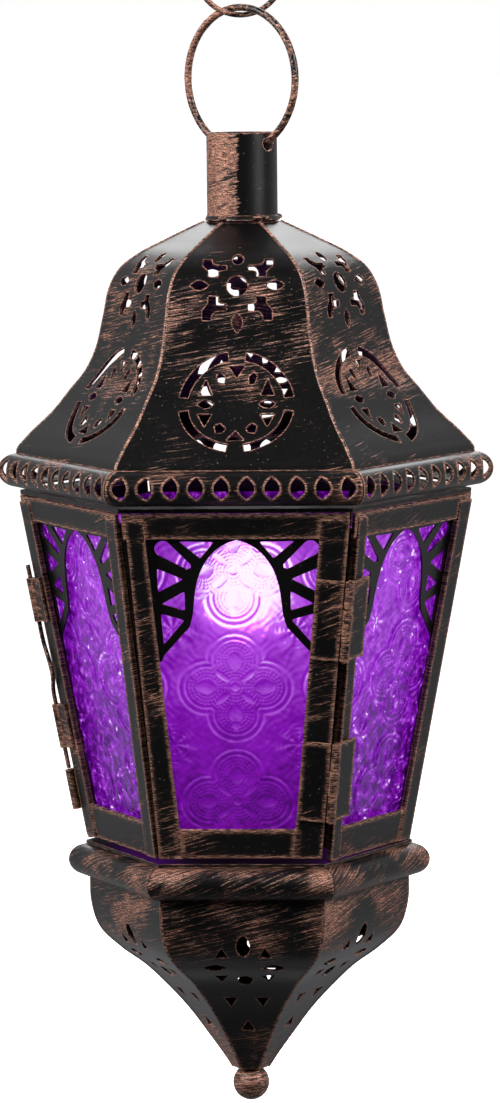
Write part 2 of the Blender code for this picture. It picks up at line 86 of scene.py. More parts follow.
def shader(name, **values):
    made = bpy.data.materials.new(name)
    made.use_nodes = True
    surface = made.node_tree.nodes["Principled BSDF"]
    for key, value in values.items():
        socket = surface.inputs[key.replace("_", " ")]
        socket.default_value = (*value, 1) if isinstance(value, tuple) else value
    return made, made.node_tree, surface


def add(tree, kind, **settings):
    node = tree.nodes.new(kind)
    for key, value in settings.items():
        if hasattr(node, key):
            setattr(node, key, value)
        else:
            node.inputs[key.replace("_", " ")].default_value = value
    return node


def link(tree, output, target):
    tree.links.new(output, target)


def math(tree, operation, a, b=None, clamp=False):
    node = add(tree, "ShaderNodeMath", operation=operation, use_clamp=clamp)
    for socket, value in zip(node.inputs, (a, b)):
        if value is None:
            continue
        if isinstance(value, (int, float)):
            socket.default_value = value
        else:
            link(tree, value, socket)
    return node.outputs[0]


def step(tree, value, low, high):
    """0 below low, 1 above high, smooth between."""
    node = add(tree, "ShaderNodeMapRange", interpolation_type="SMOOTHSTEP")
    link(tree, value, node.inputs["Value"])
    node.inputs["From Min"].default_value = low
    node.inputs["From Max"].default_value = high
    return node.outputs["Result"]


def noise(tree, vector, scale, detail=4.0, roughness=0.6, distortion=0.0):
    node = add(tree, "ShaderNodeTexNoise")
    link(tree, vector, node.inputs["Vector"])
    node.inputs["Scale"].default_value = scale
    node.inputs["Detail"].default_value = detail
    node.inputs["Roughness"].default_value = roughness
    node.inputs["Distortion"].default_value = distortion
    return node.outputs["Fac"]


def mapped(tree, vector, scale, rotation=(0, 0, 0)):
    node = add(tree, "ShaderNodeMapping")
    link(tree, vector, node.inputs["Vector"])
    node.inputs["Rotation"].default_value = rotation
    node.inputs["Scale"].default_value = scale
    return node.outputs["Vector"]


def place_mm(tree, output="Object"):
    """The surface's place in mm, in the piece's own space or on its flat sheet."""
    return mapped(tree, add(tree, "ShaderNodeTexCoord").outputs[output], IN_MM)


def mixed(tree, share, a, b):
    node = add(tree, "ShaderNodeMix", data_type="RGBA")
    link(tree, share, node.inputs["Factor"])
    for socket, value in ((node.inputs[6], a), (node.inputs[7], b)):
        if isinstance(value, tuple):
            socket.default_value = (*value, 1)
        else:
            link(tree, value, socket)
    return node.outputs[2]


def brushed(name, coverage, flat=True, roughness=0.3, worn_width=0.7, tilt=10, zones=(),
            streaks=(0.085, 2.1)):
    """Black gloss paint dry-brushed with copper along one direction, and worn to copper on its edges."""
    made, tree, surface = shader(name)
    point = place_mm(tree, "UV" if flat else "Object")
    if flat:
        turned_point = mapped(tree, point, (1, 1, 1), (0, 0, radians(-tilt)))
        along = mapped(tree, turned_point, (streaks[0], streaks[1], 1))
        across = mapped(tree, point, (0.5, 3.2, 1))
    else:
        turned_point = mapped(tree, point, (1, 1, 1), (0, radians(tilt), 0))
        along = mapped(tree, turned_point, (streaks[0], streaks[0], streaks[1]))
        across = mapped(tree, point, (0.5, 0.5, 3.2))
    strokes = noise(tree, along, 1.0, 5, 0.68, 0.12)
    bristles = noise(tree, along, 2.3, 3, 0.6)
    combed = noise(tree, across, 1.0, 4, 0.7)
    patches = noise(tree, point, 0.055, 2, 0.55)
    grain = noise(tree, point, 2.4, 3, 0.7)
    edge_normal = add(tree, "ShaderNodeBevel", samples=6)
    edge_normal.inputs["Radius"].default_value = worn_width * MM
    turn = add(tree, "ShaderNodeVectorMath", operation="DOT_PRODUCT")
    link(tree, edge_normal.outputs["Normal"], turn.inputs[0])
    link(tree, add(tree, "ShaderNodeNewGeometry").outputs["Normal"], turn.inputs[1])
    bend = math(tree, "SUBTRACT", 1.0, turn.outputs["Value"])
    worn = math(tree, "MULTIPLY", bend, math(tree, "MULTIPLY", step(tree, combed, 0.42, 0.66), 3.0))
    worn = step(tree, math(tree, "ADD", worn, math(tree, "MULTIPLY", bend, 0.22)), 0.05, 0.20)
    cover = math(tree, "ADD", math(tree, "MULTIPLY", patches, 0.62), math(tree, "MULTIPLY", strokes, 0.85))
    cover = math(tree, "ADD", cover, math(tree, "MULTIPLY", bristles, 0.42))
    if zones:
        height = add(tree, "ShaderNodeSeparateXYZ")
        link(tree, point, height.inputs[0])
        for axis, low, high, soft, gain in zones:
            rising = step(tree, height.outputs[axis], low - soft, low + soft)
            falling = step(tree, height.outputs[axis], high + soft, high - soft)
            within = math(tree, "MULTIPLY", rising, falling)
            cover = math(tree, "ADD", cover, math(tree, "MULTIPLY", within, gain))
    brushed_on = step(tree, cover, 1.13 - coverage, 1.25 - coverage)
    brushed_on = math(tree, "MULTIPLY", brushed_on, step(tree, grain, 0.36, 0.52))
    share = math(tree, "MAXIMUM", brushed_on, worn, clamp=True)
    dust = step(tree, noise(tree, point, 1.9, 1, 0.4), 0.74, 0.77)
    copper = mixed(tree, step(tree, combed, 0.38, 0.66), (0.13, 0.05, 0.032), (0.86, 0.43, 0.30))
    colour = mixed(tree, share, (0.0022, 0.0018, 0.0018), copper)
    colour = mixed(tree, math(tree, "MULTIPLY", dust, 0.5), colour, (0.42, 0.36, 0.34))
    link(tree, colour, surface.inputs["Base Color"])
    link(tree, math(tree, "MULTIPLY", share, 0.45), surface.inputs["Metallic"])
    rough = math(tree, "ADD", roughness, math(tree, "MULTIPLY", share, 0.2))
    link(tree, math(tree, "ADD", rough, math(tree, "MULTIPLY", patches, 0.08)), surface.inputs["Roughness"])
    relief = add(tree, "ShaderNodeBump")
    relief.inputs["Strength"].default_value = 0.4
    relief.inputs["Distance"].default_value = 0.0002
    height = math(tree, "ADD", math(tree, "MULTIPLY", share, 0.7), math(tree, "MULTIPLY", grain, 0.4))
    link(tree, height, relief.inputs["Height"])
    link(tree, relief.outputs["Normal"], surface.inputs["Normal"])
    return made


sheet_paint = brushed("pierced_sheet", 0.02, zones=(("Y", 22, 58, 7, 0.14), ("Y", -9, 1, 3, 0.1)))
petal_paint = brushed("base_sheet", 0.03, tilt=14, zones=(("Y", 46, 90, 7, 0.15), ("Y", -5, 17, 5, 0.16)))
frame_paint = brushed("frame_bars", 0.10, tilt=16, worn_width=2.2, roughness=0.33)
fret_paint = brushed("fret_black", -0.5, worn_width=0.05)
gallery_paint = brushed("gallery_edge", 0.10, tilt=6, worn_width=1.3)
moulding_paint = brushed("moulding_edge", 0.19, tilt=24, worn_width=0.8)
small_paint = brushed("small_fittings", 0.16, flat=False, worn_width=1.2, tilt=-15)
hinge_paint = brushed("hinge_leaves", 0.10, flat=False, worn_width=2.0, tilt=20)
collar_paint = brushed("collar_sheet", -0.05, tilt=12, streaks=(0.13, 1.5),
                       zones=(("X", -12, 3.0, 1.5, 0.36),))
wire_paint = brushed("bronze_wire", 0.26, flat=False, roughness=0.3, worn_width=0.1, streaks=(0.7, 1.4))
bead_paint = brushed("bead", 0.16, flat=False, roughness=0.25, worn_width=0.3, tilt=10)


def mottled(name, dark, light, scale, detail, **values):
    """A material whose colour wanders between two tones, and the place that its noise reads."""
    made, tree, surface = shader(name, **values)
    point = place_mm(tree)
    link(tree, mixed(tree, noise(tree, point, scale, detail), dark, light), surface.inputs["Base Color"])
    return made, tree, surface, point


# ---------------------------------------------------------------- mesh makers

def piece(name, points, faces, body, paint, stands_for=(), slot=None, flat=None, smooth=35):
    """A finished piece from points in mm, riding on a body. flat is each point's place on its sheet in mm."""
    mesh = bpy.data.meshes.new(name)
    mesh.from_pydata((np.asarray(points, float) * MM).tolist(), [], faces)
    if flat is not None:
        layer = mesh.uv_layers.new(name="UVMap")
        corners = np.empty(len(mesh.loops), np.int32)
        mesh.loops.foreach_get("vertex_index", corners)
        layer.data.foreach_set("uv", (np.asarray(flat, float)[corners] * MM).astype(np.float32).ravel())
    if smooth:
        mesh.shade_smooth()
        mesh.set_sharp_from_angle(angle=radians(smooth))
    mesh.materials.append(paint)
    made = bpy.data.objects.new(name, mesh)
    bpy.context.scene.collection.objects.link(made)
    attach(made, body)
    if stands_for:
        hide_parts(*stands_for)
    return made


def bevel(made, width, segments=2):
    modifier = made.modifiers.new("Bevel", "BEVEL")
    modifier.width = width * MM
    modifier.segments = segments
    modifier.limit_method = "ANGLE"
    modifier.angle_limit = radians(35)
    modifier.harden_normals = True


def inside(points, outline):
    """Even-odd test of many points against a closed outline."""
    x, y = points[:, 0], points[:, 1]
    hit = np.zeros(len(points), bool)
    for (x0, y0), (x1, y1) in zip(outline, outline[1:] + outline[:1]):
        if y0 == y1:
            continue
        crossed = (y0 > y) != (y1 > y)
        hit ^= crossed & (x < x0 + (y - y0) * (x1 - x0) / (y1 - y0))
    return hit


def pierced(outline, holes, lines=()):
    """Triangles of a flat outline with holes. The fold lines are pairs of indices into the outline."""
    loops = [list(outline)] + [list(hole) for hole in holes]
    points = []
    edges = list(lines)
    for loop in loops:
        first = len(points)
        points += loop
        edges += [(first + i, first + (i + 1) % len(loop)) for i in range(len(loop))]
    found = delaunay_2d_cdt([Vector(p) for p in points], edges, [], 0, 1e-5, False)
    flat = np.array([tuple(p) for p in found[0]])
    triangles = np.array([tuple(t) for t in found[2]])
    middles = flat[triangles].mean(axis=1)
    kept = inside(middles, loops[0])
    for hole in loops[1:]:
        kept &= ~inside(middles, hole)
    return flat, triangles[kept]


def shell(flat, triangles, outer, inner):
    """Points, faces and flat places of a closed sheet between two surfaces, with crisp rims."""
    used, index = np.unique(triangles, return_inverse=True)
    tri = index.reshape(-1, 3)
    places = flat[used]
    count = len(used)
    ends = np.concatenate([tri[:, [0, 1]], tri[:, [1, 2]], tri[:, [2, 0]]])
    keys = {(a, b) for a, b in ends.tolist()}
    rims = [edge for edge in keys if (edge[1], edge[0]) not in keys]
    outside = outer(places)
    within = inner(places)
    points = np.concatenate([outside, within, outside, within])
    faces = tri.tolist() + (tri[:, ::-1] + count).tolist()
    faces += [(b + 2 * count, a + 2 * count, a + 3 * count, b + 3 * count) for a, b in rims]
    return points, faces, np.concatenate([places] * 4)


def around(angle, across, away, height):
    """World points on the side whose normal is at this angle: across it, away from the axis, and up."""
    return np.stack([
        away * cos(angle) - across * sin(angle), away * sin(angle) + across * cos(angle), height,
    ], axis=-1)


def face_angle(index):
    return radians(270 + 60 * index)


def fine_line(points, count):
    """A smooth line through the points, evenly spaced."""
    known = np.asarray(points, float)
    gaps = np.sqrt((np.diff(known, axis=0) ** 2).sum(axis=1))
    at = np.concatenate([[0], np.cumsum(gaps)])
    slopes = np.gradient(known, at, axis=0)
    wanted = np.linspace(0, at[-1], count)
    i = np.clip(np.searchsorted(at, wanted, side="right") - 1, 0, len(at) - 2)
    h = (at[i + 1] - at[i])[:, None]
    t = ((wanted - at[i]) / (at[i + 1] - at[i]))[:, None]
    return (
        known[i] * (2 * t**3 - 3 * t**2 + 1) + slopes[i] * h * (t**3 - 2 * t**2 + t)
        + known[i + 1] * (3 * t**2 - 2 * t**3) + slopes[i + 1] * h * (t**3 - t**2)
    )


def inset(profile, depth):
    """The profile moved in by the sheet's depth."""
    run = np.gradient(profile, axis=0)
    normal = np.stack([-run[:, 1], run[:, 0]], axis=1)
    return profile + normal / np.linalg.norm(normal, axis=1)[:, None] * depth


def torus(centre, turn, radius, wire, segments=96, sides=14):
    ring = np.linspace(0, 2 * pi, segments, endpoint=False)
    tube = np.linspace(0, 2 * pi, sides, endpoint=False)
    a, b = np.meshgrid(ring, tube, indexing="ij")
    reach = radius + wire / 2 * np.cos(b)
    side = wire / 2 * np.sin(b)
    x = reach * np.sin(a)
    points = np.stack([
        centre[0] + x * cos(turn) - side * sin(turn),
        centre[1] + x * sin(turn) + side * cos(turn),
        centre[2] + reach * np.cos(a),
    ], axis=-1).reshape(-1, 3)
    return points, wrapped(segments, sides, True)


def wrapped(rows, sides, closed):
    """Quads of a grid that closes round its sides, and end to end if closed."""
    faces = []
    for i in range(rows if closed else rows - 1):
        k = (i + 1) % rows
        for j in range(sides):
            m = (j + 1) % sides
            faces.append((i * sides + j, i * sides + m, k * sides + m, k * sides + j))
    return faces


def swept(path, radius, sides=12):
    """A round wire along a path, with flat ends. radius may be one number or one for each point."""
    path = [Vector(p) for p in path]
    radii = np.broadcast_to(radius, len(path))
    rows = []
    side = None
    for i, point in enumerate(path):
        ahead = (path[min(i + 1, len(path) - 1)] - path[max(i - 1, 0)]).normalized()
        side = ahead.orthogonal() if side is None else side
        side = (side - ahead * side.dot(ahead)).normalized()
        other = ahead.cross(side)
        for j in range(sides):
            a = 2 * pi * j / sides
            rows.append(point + (side * cos(a) + other * sin(a)) * float(radii[i]))
    last = (len(path) - 1) * sides
    faces = wrapped(len(path), sides, False)
    faces += [tuple(reversed(range(sides))), tuple(range(last, last + sides))]
    return np.array(rows), faces


def turned(profile, steps=72):
    """A round piece about the lantern's axis, with its place round and along the profile."""
    profile = np.asarray(profile, float)
    runs = np.concatenate([[0], np.cumsum(np.sqrt((np.diff(profile, axis=0) ** 2).sum(axis=1)))])
    angles = np.linspace(0, 2 * pi, steps, endpoint=False)
    points = np.concatenate([
        np.stack([profile[:, 0] * cos(a), profile[:, 0] * sin(a), profile[:, 1]], axis=1) for a in angles
    ])
    widest = profile[:, 0].max()
    flat = np.concatenate([np.stack([np.full(len(profile), a * widest), runs], axis=1) for a in angles])
    count = len(profile)
    faces = []
    for i in range(steps):
        k = (i + 1) % steps
        a, b = i * count, k * count
        faces += [(a + j, b + j, b + j + 1, a + j + 1) for j in range(count - 1)]
    return points, faces, flat


# ---------------------------------------------------------------- pierced shapes, (across, up) in mm

def ellipse(u, s, wide, tall, steps=24, turn=0):
    a = np.linspace(0, 2 * pi, steps, endpoint=False)
    x, y = wide / 2 * np.cos(a), tall / 2 * np.sin(a)
    c, d = cos(radians(turn)), sin(radians(turn))
    return [(u + p * c - q * d, s + p * d + q * c) for p, q in zip(x, y)]


def eye(u, s, wide, tall, steps=9):
    """A pointed oval lying across, or standing if it is taller than wide."""
    t = np.linspace(-1, 1, steps)
    bow = 1 - t**2
    if wide >= tall:
        upper = [(u + wide / 2 * a, s + tall / 2 * b) for a, b in zip(t, bow)]
        lower = [(u + wide / 2 * a, s - tall / 2 * b) for a, b in zip(t[-2:0:-1], bow[-2:0:-1])]
        return upper + lower
    return [(u + q - s, s + p - u) for p, q in eye(u, s, tall, wide, steps)]


def rounded(corners, cut=0.22, steps=3):
    """A polygon with small rounded corners, as a punch leaves them."""
    made = []
    count = len(corners)
    for i, corner in enumerate(corners):
        here = np.array(corner)
        before = np.array(corners[i - 1]) - here
        after = np.array(corners[(i + 1) % count]) - here
        a = here + before / np.linalg.norm(before) * min(cut, np.linalg.norm(before) * 0.4)
        b = here + after / np.linalg.norm(after) * min(cut, np.linalg.norm(after) * 0.4)
        for t in np.linspace(0, 1, steps):
            made.append(tuple((1 - t) ** 2 * a + 2 * t * (1 - t) * here + t**2 * b))
    return made


def wedge(u, s, wide, tall):
    """A triangle pointing up, or down if tall is negative."""
    return rounded([(u - wide / 2, s - tall / 2), (u + wide / 2, s - tall / 2), (u, s + tall / 2)], 0.2)


def moved(shape, u, s, up=1):
    return [(u + x, s + up * y) for x, y in shape]


def both_sides(shape):
    return [shape, [(-u, s) for u, s in reversed(shape)]]


def arc_slot(u, s, low, high, tall, start, stop, steps=18):
    sweep = np.radians(np.linspace(start, stop, steps))
    outer = [(u + high * cos(a), s + tall * high * sin(a)) for a in sweep]
    return outer + [(u + low * cos(a), s + tall * low * sin(a)) for a in sweep[::-1]]


ROSETTE = 54.0
MEDALLION = 21.0
CROSS = rounded([
    (-1.2, 3.0), (1.5, 3.0), (1.5, 1.2), (2.3, 0.2), (3.1, -0.7), (3.1, -3.4), (0.8, -3.4), (0.7, -2.0),
    (-0.4, -1.0), (-1.7, -0.9), (-3.3, -0.8), (-3.3, 0.9), (-1.7, 1.0), (-1.0, 1.5),
], 0.3)
roof_holes = [
    ellipse(0, ROSETTE, 5.5, 5.7, 32),
    ellipse(0, ROSETTE + 9.0, 2.9, 4.2, 22),
    eye(0, ROSETTE - 10.0, 2.8, 5.2),
    wedge(0, MEDALLION + 9.7, 4.4, -3.4),
    wedge(0, MEDALLION - 9.9, 5.0, 3.2),
]
for shape in (
    eye(10.1, ROSETTE + 0.2, 5.0, 2.7),
    moved(CROSS, 6.2, ROSETTE - 5.9),
    moved(CROSS, 6.2, ROSETTE + 5.7, -1)[::-1],
    eye(8.2, MEDALLION, 4.4, 2.5),
    wedge(8.2, MEDALLION + 5.2, 3.7, 4.9),
    wedge(8.3, MEDALLION - 5.0, 3.7, -4.0),
    rounded([(3.2, MEDALLION + 8.5), (4.6, MEDALLION + 9.7), (5.4, MEDALLION + 8.6), (4.6, MEDALLION + 6.2),
             (3.3, MEDALLION + 6.0)], 0.3),
    rounded([(2.7, MEDALLION - 7.4), (4.2, MEDALLION - 5.8), (5.6, MEDALLION - 6.6), (5.2, MEDALLION - 9.0),
             (3.4, MEDALLION - 8.9)], 0.3),
    arc_slot(0, MEDALLION, 12.9, 15.3, 1.0, 8.5, 80.5),
    arc_slot(0, MEDALLION, 12.9, 15.3, 1.0, -80.5, -8.5),
):
    roof_holes += both_sides(shape)

petal_holes = [
    ellipse(0, 52.0, 3.7, 7.0, 26),
    ellipse(0, 36.4, 4.2, 4.6, 24),
    wedge(0, 16.7, 3.8, 3.8),
]
for shape in (
    wedge(5.9, 50.0, 3.8, 3.8),
    eye(7.9, 43.3, 6.6, 3.0),
    rounded([(4.4, 38.9), (8.4, 39.1), (6.4, 35.4)], 0.25),
    wedge(4.3, 26.2, 4.0, -4.0),
):
    petal_holes += both_sides(shape)


# ---------------------------------------------------------------- roof and base sheets

ROOF = (
    (62.75, -142.0), (62.7, -141.0), (60.8, -138.6), (51.8, -129.7), (47.9, -124.8), (43.6, -119.6),
    (40.7, -113.7), (38.4, -104.5), (36.4, -96.1), (33.8, -91.7), (29.3, -88.2), (21.4, -84.1), (10.7, -79.0),
)
PETAL = (
    (5.2, -313.0), (6.7, -310.6), (11.9, -303.2), (17.5, -295.7), (23.3, -289.4),
    (29.0, -284.0), (35.9, -279.0), (41.7, -273.2), (43.8, -266.6), (44.1, -258.7),
)
SEAM = 0.3


def sheet_sides(stem, corners, holes, levels_count, paint):
    line = fine_line(corners, levels_count)
    profile = line * (cos(HALF_TURN), 1)
    levels = np.concatenate([[0], np.cumsum(np.sqrt((np.diff(profile, axis=0) ** 2).sum(axis=1)))])
    halves = line[:, 0] / 2 - SEAM
    outline = list(zip(halves, levels)) + list(zip(-halves[::-1], levels[::-1]))
    lines = [(i, 2 * levels_count - 1 - i) for i in range(1, levels_count - 1)]
    flat, triangles = pierced([tuple(map(float, p)) for p in outline], holes, lines)
    behind = inset(profile, SHEET)
    for index in FACES:
        def place(section):
            return lambda p: around(
                face_angle(index), p[:, 0],
                np.interp(p[:, 1], levels, section[:, 0]), np.interp(p[:, 1], levels, section[:, 1]),
            )
        points, faces, flats = shell(flat, triangles, place(profile), place(behind))
        piece(f"{stem}_sheet_{index}", points, faces, "lantern", paint, [f"{stem}_{index}"],
              "blackened_steel", flats + (index * 173, 0), 30)
        angle = face_angle(index) + HALF_TURN
        ridge = [(r * cos(angle), r * sin(angle), z) for r, z in line - (0.35, 0)]
        piece(f"{stem}_seam_{index}", *swept(ridge, 0.42, 8), "lantern", small_paint, slot="copper_edge")


sheet_sides("roof_panel", ROOF, roof_holes, 72, sheet_paint)
sheet_sides("base_petal", PETAL, petal_holes, 60, petal_paint)


# ---------------------------------------------------------------- gallery and moulding

BAND_RADIUS, BAND_Z, BAND_SECTION = 62.7, -146.6, 4.6
SLOTS, PITCH = 10, 6.25
band_apothem = BAND_RADIUS * cos(HALF_TURN)


def band_point(angle, radius):
    def place(p):
        turn = np.clip(p[:, 1] / BAND_SECTION, -pi / 2, pi / 2)
        flange = np.abs(p[:, 1]) - np.abs(turn) * BAND_SECTION
        away = band_apothem + radius * np.cos(turn) - flange
        share = p[:, 0] / (band_apothem * tan(HALF_TURN))
        return around(angle, share * (away * tan(HALF_TURN) - 0.25), away, BAND_Z + radius * np.sin(turn))
    return place


quarter = BAND_SECTION * pi / 2
turns = np.concatenate([[-quarter - 2.5], np.linspace(-quarter, quarter, 25), [quarter + 2.5]])
half = band_apothem * tan(HALF_TURN)
band_outline = [(half, float(t)) for t in turns] + [(-half, float(t)) for t in turns[::-1]]
band_lines = [(i, 2 * len(turns) - 1 - i) for i in range(1, len(turns) - 1)]
band_slots = [eye((i - (SLOTS - 1) / 2) * PITCH, 0.3, 3.8, 6.8, 11) for i in range(SLOTS)]
band_flat, band_triangles = pierced(band_outline, band_slots, band_lines)
for index in FACES:
    points, faces, flats = shell(band_flat, band_triangles, band_point(face_angle(index), BAND_SECTION),
                                 band_point(face_angle(index), BAND_SECTION - SHEET))
    piece(f"gallery_sheet_{index}", points, faces, "lantern", gallery_paint, [f"gallery_strip_{index}"],
          "copper_edge", flats + (index * 131, 0), 30)

MOULDING_RADIUS, MOULDING_Z, MOULDING_SECTION = 45.0, -254.7, 4.3
section = np.radians(np.linspace(-90, 90, 25))
reach_out = np.concatenate([[-5.0], MOULDING_SECTION * np.cos(section), [-5.0]])
rise_up = np.concatenate([[-MOULDING_SECTION], MOULDING_SECTION * np.sin(section), [MOULDING_SECTION]])
run_round = np.concatenate([[-12], section * MOULDING_SECTION, [12]])
count = len(reach_out)
for index in FACES:
    rows = []
    flats = []
    for share in np.linspace(-1, 1, 9):
        away = MOULDING_RADIUS * cos(HALF_TURN) + reach_out
        across = share * (away * tan(HALF_TURN) - 0.12)
        rows.append(around(face_angle(index), across, away, MOULDING_Z + rise_up))
        flats.append(np.stack([share * away * tan(HALF_TURN), run_round], axis=1))
    faces = [(i * count + j, (i + 1) * count + j, (i + 1) * count + j + 1, i * count + j + 1)
             for i in range(8) for j in range(count - 1)]
    piece(f"moulding_side_{index}", np.concatenate(rows), faces, "lantern", moulding_paint,
          ["base_moulding"] if index == 0 else (), "copper_edge",
          np.concatenate(flats) + (index * 77, 40))


# ---------------------------------------------------------------- cage frames

BOTTOM_RADIUS, TOP_RADIUS = 45.1, 62.8
BOTTOM, TOP = -249.0, -154.3
FRAME_DEPTH, FRET_FRONT, GLASS_FRONT = 1.6, 1.9, 2.8
STILE, HINGE_STILE = 7.0, 8.8
TOP_RAIL, SETBACK = 6.0, 1.1
BOTTOM_RAILS = {0: 9.3, 5: 10.6}
RAIL_STEP = 0.45
CHANNEL = 3.3
lean = atan2((TOP_RADIUS - BOTTOM_RADIUS) * cos(HALF_TURN), TOP - BOTTOM)
slant = (TOP - BOTTOM) / cos(lean)


def half_side(s):
    return (BOTTOM_RADIUS + (TOP_RADIUS - BOTTOM_RADIUS) * s / slant) / 2


def on_face(index, u, s, depth):
    """World points on a side: across, up the slope, and behind its outer surface."""
    u, s, depth = np.broadcast_arrays(np.asarray(u, float), s, depth)
    away = BOTTOM_RADIUS * cos(HALF_TURN) + s * sin(lean) - depth * cos(lean)
    return around(face_angle(index), u, away, BOTTOM + s * cos(lean) + depth * sin(lean))


def prism(index, outline, front, back):
    """Points, faces and flat places of a flat bar on a side, its outline going round anticlockwise."""
    flat = np.array(outline, float)
    count = len(flat)
    points = np.concatenate([on_face(index, flat[:, 0], flat[:, 1], depth) for depth in (front, back)])
    faces = [tuple(range(count)), tuple(reversed(range(count, 2 * count)))]
    faces += [((i + 1) % count, i, i + count, (i + 1) % count + count) for i in range(count)]
    return points, faces, np.concatenate([flat, flat])


def joined(parts):
    points, faces, flats = [], [], []
    first = 0
    for p, f, uv in parts:
        points.append(p)
        flats.append(uv)
        faces += [tuple(i + first for i in face) for face in f]
        first += len(p)
    return np.concatenate(points), faces, np.concatenate(flats)


def band_between(index, left, right, low, high, front, back):
    """A bar between two lines that lean with the side's corners."""
    outline = [(-half_side(low) + left, low), (half_side(low) - right, low),
               (half_side(high) - right, high), (-half_side(high) + left, high)]
    return prism(index, outline, front, back)


def stile_bar(index, side, wide, low, high, front, back, low_gap=SETBACK, high_gap=SETBACK):
    """A bar along one corner of a side: side is -1 on the left and 1 on the right."""
    corners = ((low, low_gap), (low, wide), (high, wide), (high, high_gap))
    rows = [(side * (half_side(s) - a), s) for s, a in corners]
    return prism(index, rows if side < 0 else rows[::-1], front, back)


for index in FACES:
    low = 1.2 if index in DOOR_FACES else 0.0
    high = slant - 0.9
    left, right = STILE, (HINGE_STILE if index == 0 else STILE)
    left_gaps = (0.6, 2.3) if index == 0 else (2.6, 2.6) if index == 1 else (SETBACK, SETBACK)
    body = owner(f"frame_{index}")
    bottom_rail = BOTTOM_RAILS.get(index, 8.9)
    bars = [
        stile_bar(index, -1, left, low, high, 0, FRAME_DEPTH, *left_gaps),
        stile_bar(index, 1, right, low, high, 0, FRAME_DEPTH),
        band_between(index, left - 1, right - 1, low, bottom_rail, RAIL_STEP, FRAME_DEPTH - 0.05),
        band_between(index, 1.3, 1.3, slant - TOP_RAIL, slant + 0.8, RAIL_STEP, FRAME_DEPTH - 0.05),
    ]
    for edge_side, wide in ((-1, left - CHANNEL), (1, right - CHANNEL)):
        bars.append(stile_bar(index, edge_side, wide + 0.4, low + 3, high - 3, FRAME_DEPTH, 5.4, wide, wide))
    points, faces, flats = joined(bars)
    made = piece(f"frame_bars_{index}", points, faces, body, frame_paint, [f"frame_{index}"],
                 "blackened_steel", flats + (index * 57, index * 113), 0)
    bevel(made, 0.28)

    # Fretwork: a pointed arch with bars fanning out of both top corners
    top = slant - TOP_RAIL
    reach = half_side(top) - (left + right) / 2
    grow = 1.0 if index == 0 else reach / 22.6
    middle = (left - right) / 2 + (1.1 if index == 0 else 0)
    teardrop = [(-19.5 + 2.2 * cos(radians(a)), -2.9 + 2.2 * sin(radians(a))) for a in range(50, 236, 15)]
    teardrop += [(-13.3, -8.6), (-12.3, -8.3), (-12.2, -7.3)]
    cuts = [
        teardrop,
        rounded([(-15.3, -0.9), (-6.0, -1.1), (-9.7, -5.7)], 0.5),
        rounded([(-21.2, -8.3), (-14.2, -11.3), (-21.0, -14.9)], 0.6),
        rounded([(-20.2, -18.1), (-14.0, -14.6), (-14.0, -20.0)], 0.6),
        rounded([(-20.4, -20.7), (-14.1, -22.5), (-19.8, -29.4)], 0.7),
    ]
    arch = [(0, -0.5), (2.9, -1.6), (5.4, -3.2), (7.5, -5.4), (9.5, -8.7), (10.8, -12.6), (11.5, -16.9),
            (11.9, -20.8), (12.8, -24.4), (19.7, -32.2), (20.4, -34.0)]
    curve = fine_line(arch[:9], 26).tolist() + arch[9:]
    low_reach = half_side(top - 34.0)
    side_low, side_high = low_reach + 1.8, half_side(top) + 1.8
    outline = [(-side_low + left, top - 34.0)]
    outline += [(middle - u * grow, top + s) for u, s in reversed(curve)]
    outline += [(middle + u * grow, top + s) for u, s in curve[1:]]
    outline += [(side_low - right, top - 34.0), (side_high - right, top + 1.8)]
    outline.append((-side_high + left, top + 1.8))
    holes = [[(middle + u * grow, top + s) for u, s in cut] for cut in cuts]
    holes += [[(middle - u * grow, top + s) for u, s in reversed(cut)] for cut in cuts]
    fret_flat, fret_triangles = pierced([tuple(map(float, p)) for p in outline], holes)
    points, faces, flats = shell(
        fret_flat, fret_triangles,
        lambda p: on_face(index, p[:, 0], p[:, 1], FRET_FRONT),
        lambda p: on_face(index, p[:, 0], p[:, 1], FRET_FRONT + 0.6),
    )
    piece(f"fretwork_sheet_{index}", points, faces, body, fret_paint, [f"fretwork_{index}"],
          "blackened_steel", flats, 30)


# Black sealing strips on the fixed sides that reach across each corner, behind the next side's stile
for index, edge_side in ((1, -1), (2, -1), (3, -1), (4, -1), (4, 1)):
    points, faces, flats = stile_bar(index, edge_side, 3.4, 2, slant - 4, 3.2, 3.8, 0.25, 0.25)
    name = f"corner_seal_{index}_{'left' if edge_side < 0 else 'right'}"
    piece(name, points, faces, "lantern", fret_paint, (), "blackened_steel", flats, 0)


# ---------------------------------------------------------------- embossed panes

# Centre of the panes' painted glow in mm, in the flame's own space
PAINTED_GLOW_CENTRE = (2.5, -18.0, -167.5)


def ridge(distance, width):
    return np.exp(-(distance / width) ** 2)


def oval(x, y, cx, cy, a, b, turn=0.0):
    """A smooth low dome, 1 at its middle and 0 outside the ellipse."""
    c, d = cos(radians(turn)), sin(radians(turn))
    p, q = (x - cx) * c + (y - cy) * d, -(x - cx) * d + (y - cy) * c
    return np.clip(1 - (p / a) ** 2 - (q / b) ** 2, 0, 1) ** 0.6


